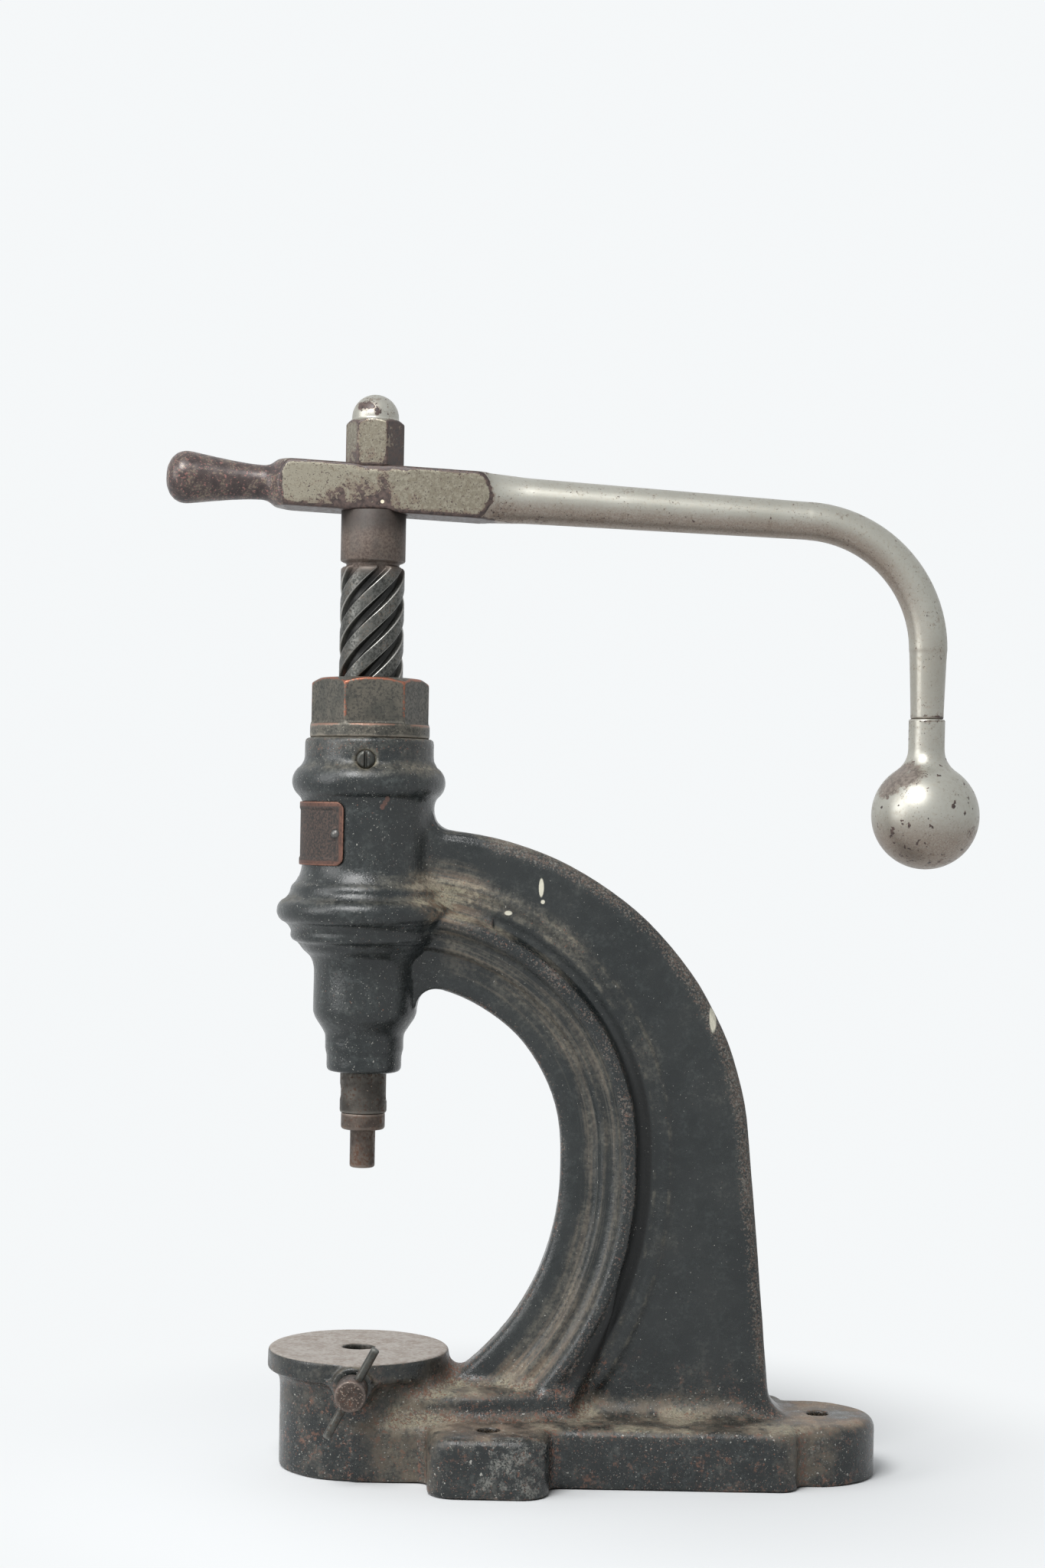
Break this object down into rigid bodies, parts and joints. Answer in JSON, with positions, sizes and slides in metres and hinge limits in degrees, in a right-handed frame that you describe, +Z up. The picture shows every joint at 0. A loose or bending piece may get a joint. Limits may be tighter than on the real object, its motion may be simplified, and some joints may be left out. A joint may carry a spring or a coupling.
{
  "type": "button press",
  "caption": "Cast-iron bench button press: a ball-weighted lever turns a quick-thread screw that drives a keyed ram and punch down onto a round die table.",
  "frame": {"origin": "on the spindle axis, at the foot of the die hole in the bottom of the base", "axes": "+Z up along the spindle, +X from the spindle to the back of the base, +Y to the side away from the clamp screw"},
  "size_m": [0.3836, 0.132, 0.5004],
  "materials": {
    "enamelled_iron": "worn dark enamel on cast iron, dusty in the grooves",
    "bronze": "dark patina, worn red on the edges",
    "copper_plate": "brown copper patina",
    "brown_steel": "brown worn steel",
    "oily_steel": "dark oily steel, bright on the edges",
    "bright_steel": "ground steel",
    "nickel_plate": "satin nickel plate, flaking to dark iron"
  },
  "bodies": {
    "frame": {"frame_casting": "enamelled_iron", "spindle_nut": "bronze", "nut_lock_screw": "brown_steel", "nameplate": "copper_plate", "nameplate_rivet_near": "bronze", "nameplate_rivet_far": "bronze", "ram_key": "bright_steel"},
    "ram": {"ram": "brown_steel", "thrust_disc": "bright_steel", "ram_pin_near": "bright_steel", "ram_pin_far": "bright_steel", "punch": "brown_steel", "punch_grub_screw": "brown_steel"},
    "spindle": {"spindle": "oily_steel", "lever": "nickel_plate", "dome_nut": "nickel_plate", "ball_weight": "nickel_plate"},
    "clamp_pad": {"clamp_pad": "copper_plate"},
    "clamp_screw": {"clamp_screw": "brown_steel", "tommy_bar": "oily_steel"}
  },
  "joints": [
    {"name": "ram_slide", "type": "slide", "parent": "frame", "child": "ram", "axis": [0, 0, 1], "range_m": [-0.05, 0.01]},
    {"name": "spindle_turn", "type": "hinge", "parent": "ram", "child": "spindle", "pos_m": [0, 0, 0.3], "axis": [0, 0, 1], "range_deg": [-209, 41]},
    {"name": "clamp_slide", "type": "slide", "parent": "frame", "child": "clamp_pad", "axis": [0, 1, 0], "range_m": [-0.006, 0.0012]},
    {"name": "clamp_turn", "type": "hinge", "parent": "clamp_pad", "child": "clamp_screw", "pos_m": [0, -0.03, 0.044], "axis": [0, 1, 0], "range_deg": [-1441, 289]}
  ],
  "couplings": [
    {"joint": "ram_slide", "follows": "spindle_turn", "m_per_rad": 0.013687},
    {"joint": "clamp_turn", "follows": "clamp_slide", "rad_per_m": 4188.8}
  ]
}
